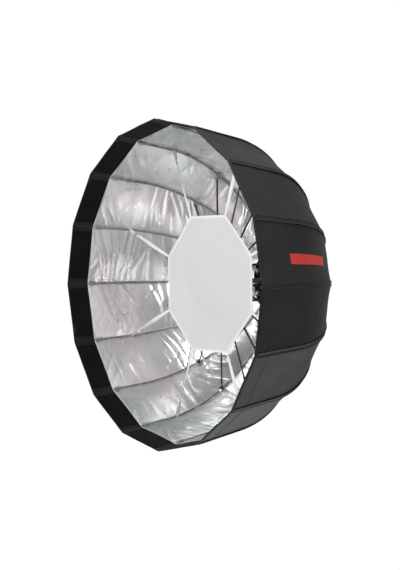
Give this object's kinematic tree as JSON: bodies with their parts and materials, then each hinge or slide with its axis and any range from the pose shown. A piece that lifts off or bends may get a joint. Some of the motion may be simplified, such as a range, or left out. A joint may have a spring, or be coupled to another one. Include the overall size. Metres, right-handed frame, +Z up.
{
  "type": "octabox softbox",
  "caption": "Deep folding octabox softbox with silver lining, sprung ribs on an umbrella linkage, hooked-in inner deflector and a turning bayonet mount.",
  "frame": {"origin": "centre of the bayonet bore, in the plane of the rear mount face", "axes": "+Y along the bore towards the flash head; the mouth of the box faces -Y; +Z up"},
  "size_m": [1.05, 0.5356, 1.05],
  "materials": {
    "mount_metal": "cast, satin black paint",
    "hub_metal": "cast, satin black paint",
    "screw_steel": "zinc plated",
    "knob_plastic": "moulded, fluted",
    "post_metal": "black anodised tube",
    "runner_plastic": "moulded, fine grain",
    "deflector_cloth": "white translucent ripstop",
    "strap_elastic": "flat woven elastic",
    "rib_steel": "sprung steel rod",
    "strut_metal": "black lacquered tube",
    "canopy_cloth": "black coated nylon",
    "liner_silver": "crinkled silver coated cloth",
    "rim_binding": "black woven tape",
    "fitting_plastic": "moulded, grey black",
    "webbing_white": "white webbing"
  },
  "bodies": {
    "mount": {"mount_ring": "mount_metal", "retaining_ring": "mount_metal", "retaining_screws": "screw_steel"},
    "hub": {"hub_ring": "hub_metal", "guide_posts": "post_metal", "front_ring": "hub_metal", "post_nuts": "screw_steel", "deflector": "deflector_cloth", "deflector_straps": "strap_elastic", "strap_hooks": "screw_steel"},
    "turn_lock": {"lock_knob": "knob_plastic"},
    "runner": {"runner_ring": "runner_plastic"},
    "rib_01": {"rib_01": "rib_steel", "gore_01": "canopy_cloth"},
    "rib_02": {"rib_02": "rib_steel", "gore_02": "canopy_cloth"},
    "rib_03": {"rib_03": "rib_steel", "gore_03": "canopy_cloth"},
    "rib_04": {"rib_04": "rib_steel", "gore_04": "canopy_cloth"},
    "rib_05": {"rib_05": "rib_steel", "gore_05": "canopy_cloth"},
    "rib_06": {"rib_06": "rib_steel", "gore_06": "canopy_cloth"},
    "rib_07": {"rib_07": "rib_steel", "gore_07": "canopy_cloth"},
    "rib_08": {"rib_08": "rib_steel", "gore_08": "canopy_cloth"},
    "rib_09": {"rib_09": "rib_steel", "gore_09": "canopy_cloth"},
    "rib_10": {"rib_10": "rib_steel", "gore_10": "canopy_cloth"},
    "rib_11": {"rib_11": "rib_steel", "gore_11": "canopy_cloth"},
    "rib_12": {"rib_12": "rib_steel", "gore_12": "canopy_cloth"},
    "rib_13": {"rib_13": "rib_steel", "gore_13": "canopy_cloth"},
    "rib_14": {"rib_14": "rib_steel", "gore_14": "canopy_cloth"},
    "rib_15": {"rib_15": "rib_steel", "gore_15": "canopy_cloth"},
    "rib_16": {"rib_16": "rib_steel", "gore_16": "canopy_cloth"},
    "strut_01": {"strut_01": "strut_metal"},
    "strut_02": {"strut_02": "strut_metal"},
    "strut_03": {"strut_03": "strut_metal"},
    "strut_04": {"strut_04": "strut_metal"},
    "strut_05": {"strut_05": "strut_metal"},
    "strut_06": {"strut_06": "strut_metal"},
    "strut_07": {"strut_07": "strut_metal"},
    "strut_08": {"strut_08": "strut_metal"},
    "strut_09": {"strut_09": "strut_metal"},
    "strut_10": {"strut_10": "strut_metal"},
    "strut_11": {"strut_11": "strut_metal"},
    "strut_12": {"strut_12": "strut_metal"},
    "strut_13": {"strut_13": "strut_metal"},
    "strut_14": {"strut_14": "strut_metal"},
    "strut_15": {"strut_15": "strut_metal"},
    "strut_16": {"strut_16": "strut_metal"}
  },
  "joints": [
    {"name": "box_turn", "type": "hinge", "parent": "mount", "child": "hub", "pos_m": [0, 0, 0], "axis": [0, 1, 0], "continuous": true},
    {"name": "lock_turn", "type": "hinge", "parent": "hub", "child": "turn_lock", "pos_m": [0.05556, -0.011, -0.08315], "axis": [0.5556, 0, -0.8315], "continuous": true},
    {"name": "rib_fold_01", "type": "hinge", "parent": "hub", "child": "rib_01", "pos_m": [0.098, -0.032, 0], "axis": [0, 0, -1], "range_deg": [0, 45], "deforming": ["gore_01", "deflector", "deflector_straps", "strap_hooks"]},
    {"name": "rib_fold_02", "type": "hinge", "parent": "hub", "child": "rib_02", "pos_m": [0.09054, -0.032, 0.0375], "axis": [0.3827, 0, -0.9239], "range_deg": [0, 45], "deforming": ["gore_02"]},
    {"name": "rib_fold_03", "type": "hinge", "parent": "hub", "child": "rib_03", "pos_m": [0.0693, -0.032, 0.0693], "axis": [0.7071, 0, -0.7071], "range_deg": [0, 45], "deforming": ["gore_03"]},
    {"name": "rib_fold_04", "type": "hinge", "parent": "hub", "child": "rib_04", "pos_m": [0.0375, -0.032, 0.09054], "axis": [0.9239, 0, -0.3827], "range_deg": [0, 45], "deforming": ["gore_04"]},
    {"name": "rib_fold_05", "type": "hinge", "parent": "hub", "child": "rib_05", "pos_m": [0, -0.032, 0.098], "axis": [1, 0, 0], "range_deg": [0, 45], "deforming": ["gore_05"]},
    {"name": "rib_fold_06", "type": "hinge", "parent": "hub", "child": "rib_06", "pos_m": [-0.0375, -0.032, 0.09054], "axis": [0.9239, 0, 0.3827], "range_deg": [0, 45], "deforming": ["gore_06"]},
    {"name": "rib_fold_07", "type": "hinge", "parent": "hub", "child": "rib_07", "pos_m": [-0.0693, -0.032, 0.0693], "axis": [0.7071, 0, 0.7071], "range_deg": [0, 45], "deforming": ["gore_07"]},
    {"name": "rib_fold_08", "type": "hinge", "parent": "hub", "child": "rib_08", "pos_m": [-0.09054, -0.032, 0.0375], "axis": [0.3827, 0, 0.9239], "range_deg": [0, 45], "deforming": ["gore_08"]},
    {"name": "rib_fold_09", "type": "hinge", "parent": "hub", "child": "rib_09", "pos_m": [-0.098, -0.032, 0], "axis": [0, 0, 1], "range_deg": [0, 45], "deforming": ["gore_09"]},
    {"name": "rib_fold_10", "type": "hinge", "parent": "hub", "child": "rib_10", "pos_m": [-0.09054, -0.032, -0.0375], "axis": [-0.3827, 0, 0.9239], "range_deg": [0, 45], "deforming": ["gore_10"]},
    {"name": "rib_fold_11", "type": "hinge", "parent": "hub", "child": "rib_11", "pos_m": [-0.0693, -0.032, -0.0693], "axis": [-0.7071, 0, 0.7071], "range_deg": [0, 45], "deforming": ["gore_11"]},
    {"name": "rib_fold_12", "type": "hinge", "parent": "hub", "child": "rib_12", "pos_m": [-0.0375, -0.032, -0.09054], "axis": [-0.9239, 0, 0.3827], "range_deg": [0, 45], "deforming": ["gore_12"]},
    {"name": "rib_fold_13", "type": "hinge", "parent": "hub", "child": "rib_13", "pos_m": [0, -0.032, -0.098], "axis": [-1, 0, 0], "range_deg": [0, 45], "deforming": ["gore_13"]},
    {"name": "rib_fold_14", "type": "hinge", "parent": "hub", "child": "rib_14", "pos_m": [0.0375, -0.032, -0.09054], "axis": [-0.9239, 0, -0.3827], "range_deg": [0, 45], "deforming": ["gore_14"]},
    {"name": "rib_fold_15", "type": "hinge", "parent": "hub", "child": "rib_15", "pos_m": [0.0693, -0.032, -0.0693], "axis": [-0.7071, 0, -0.7071], "range_deg": [0, 45], "deforming": ["gore_15"]},
    {"name": "rib_fold_16", "type": "hinge", "parent": "hub", "child": "rib_16", "pos_m": [0.09054, -0.032, -0.0375], "axis": [-0.3827, 0, -0.9239], "range_deg": [0, 45], "deforming": ["gore_16"]},
    {"name": "runner_slide", "type": "slide", "parent": "hub", "child": "runner", "axis": [0, 1, 0], "range_m": [0, 0.2195]},
    {"name": "strut_swing_01", "type": "hinge", "parent": "runner", "child": "strut_01", "pos_m": [0.076, -0.24995, 0], "axis": [0, 0, -1], "range_deg": [0, 81.61]},
    {"name": "strut_swing_02", "type": "hinge", "parent": "runner", "child": "strut_02", "pos_m": [0.07021, -0.24995, 0.02908], "axis": [0.3827, 0, -0.9239], "range_deg": [0, 81.61]},
    {"name": "strut_swing_03", "type": "hinge", "parent": "runner", "child": "strut_03", "pos_m": [0.05374, -0.24995, 0.05374], "axis": [0.7071, 0, -0.7071], "range_deg": [0, 81.61]},
    {"name": "strut_swing_04", "type": "hinge", "parent": "runner", "child": "strut_04", "pos_m": [0.02908, -0.24995, 0.07021], "axis": [0.9239, 0, -0.3827], "range_deg": [0, 81.61]},
    {"name": "strut_swing_05", "type": "hinge", "parent": "runner", "child": "strut_05", "pos_m": [0, -0.24995, 0.076], "axis": [1, 0, 0], "range_deg": [0, 81.61]},
    {"name": "strut_swing_06", "type": "hinge", "parent": "runner", "child": "strut_06", "pos_m": [-0.02908, -0.24995, 0.07021], "axis": [0.9239, 0, 0.3827], "range_deg": [0, 81.61]},
    {"name": "strut_swing_07", "type": "hinge", "parent": "runner", "child": "strut_07", "pos_m": [-0.05374, -0.24995, 0.05374], "axis": [0.7071, 0, 0.7071], "range_deg": [0, 81.61]},
    {"name": "strut_swing_08", "type": "hinge", "parent": "runner", "child": "strut_08", "pos_m": [-0.07021, -0.24995, 0.02908], "axis": [0.3827, 0, 0.9239], "range_deg": [0, 81.61]},
    {"name": "strut_swing_09", "type": "hinge", "parent": "runner", "child": "strut_09", "pos_m": [-0.076, -0.24995, 0], "axis": [0, 0, 1], "range_deg": [0, 81.61]},
    {"name": "strut_swing_10", "type": "hinge", "parent": "runner", "child": "strut_10", "pos_m": [-0.07021, -0.24995, -0.02908], "axis": [-0.3827, 0, 0.9239], "range_deg": [0, 81.61]},
    {"name": "strut_swing_11", "type": "hinge", "parent": "runner", "child": "strut_11", "pos_m": [-0.05374, -0.24995, -0.05374], "axis": [-0.7071, 0, 0.7071], "range_deg": [0, 81.61]},
    {"name": "strut_swing_12", "type": "hinge", "parent": "runner", "child": "strut_12", "pos_m": [-0.02908, -0.24995, -0.07021], "axis": [-0.9239, 0, 0.3827], "range_deg": [0, 81.61]},
    {"name": "strut_swing_13", "type": "hinge", "parent": "runner", "child": "strut_13", "pos_m": [0, -0.24995, -0.076], "axis": [-1, 0, 0], "range_deg": [0, 81.61]},
    {"name": "strut_swing_14", "type": "hinge", "parent": "runner", "child": "strut_14", "pos_m": [0.02908, -0.24995, -0.07021], "axis": [-0.9239, 0, -0.3827], "range_deg": [0, 81.61]},
    {"name": "strut_swing_15", "type": "hinge", "parent": "runner", "child": "strut_15", "pos_m": [0.05374, -0.24995, -0.05374], "axis": [-0.7071, 0, -0.7071], "range_deg": [0, 81.61]},
    {"name": "strut_swing_16", "type": "hinge", "parent": "runner", "child": "strut_16", "pos_m": [0.07021, -0.24995, -0.02908], "axis": [-0.3827, 0, -0.9239], "range_deg": [0, 81.61]}
  ],
  "couplings": [
    {"joint": "rib_fold_02", "follows": "rib_fold_01", "ratio": 1},
    {"joint": "rib_fold_03", "follows": "rib_fold_01", "ratio": 1},
    {"joint": "rib_fold_04", "follows": "rib_fold_01", "ratio": 1},
    {"joint": "rib_fold_05", "follows": "rib_fold_01", "ratio": 1},
    {"joint": "rib_fold_06", "follows": "rib_fold_01", "ratio": 1},
    {"joint": "rib_fold_07", "follows": "rib_fold_01", "ratio": 1},
    {"joint": "rib_fold_08", "follows": "rib_fold_01", "ratio": 1},
    {"joint": "rib_fold_09", "follows": "rib_fold_01", "ratio": 1},
    {"joint": "rib_fold_10", "follows": "rib_fold_01", "ratio": 1},
    {"joint": "rib_fold_11", "follows": "rib_fold_01", "ratio": 1},
    {"joint": "rib_fold_12", "follows": "rib_fold_01", "ratio": 1},
    {"joint": "rib_fold_13", "follows": "rib_fold_01", "ratio": 1},
    {"joint": "rib_fold_14", "follows": "rib_fold_01", "ratio": 1},
    {"joint": "rib_fold_15", "follows": "rib_fold_01", "ratio": 1},
    {"joint": "rib_fold_16", "follows": "rib_fold_01", "ratio": 1},
    {"joint": "runner_slide", "follows": "rib_fold_01", "m_per_rad": 0.27947},
    {"joint": "strut_swing_01", "follows": "rib_fold_01", "ratio": 1.8136},
    {"joint": "strut_swing_02", "follows": "rib_fold_01", "ratio": 1.8136},
    {"joint": "strut_swing_03", "follows": "rib_fold_01", "ratio": 1.8136},
    {"joint": "strut_swing_04", "follows": "rib_fold_01", "ratio": 1.8136},
    {"joint": "strut_swing_05", "follows": "rib_fold_01", "ratio": 1.8136},
    {"joint": "strut_swing_06", "follows": "rib_fold_01", "ratio": 1.8136},
    {"joint": "strut_swing_07", "follows": "rib_fold_01", "ratio": 1.8136},
    {"joint": "strut_swing_08", "follows": "rib_fold_01", "ratio": 1.8136},
    {"joint": "strut_swing_09", "follows": "rib_fold_01", "ratio": 1.8136},
    {"joint": "strut_swing_10", "follows": "rib_fold_01", "ratio": 1.8136},
    {"joint": "strut_swing_11", "follows": "rib_fold_01", "ratio": 1.8136},
    {"joint": "strut_swing_12", "follows": "rib_fold_01", "ratio": 1.8136},
    {"joint": "strut_swing_13", "follows": "rib_fold_01", "ratio": 1.8136},
    {"joint": "strut_swing_14", "follows": "rib_fold_01", "ratio": 1.8136},
    {"joint": "strut_swing_15", "follows": "rib_fold_01", "ratio": 1.8136},
    {"joint": "strut_swing_16", "follows": "rib_fold_01", "ratio": 1.8136}
  ]
}
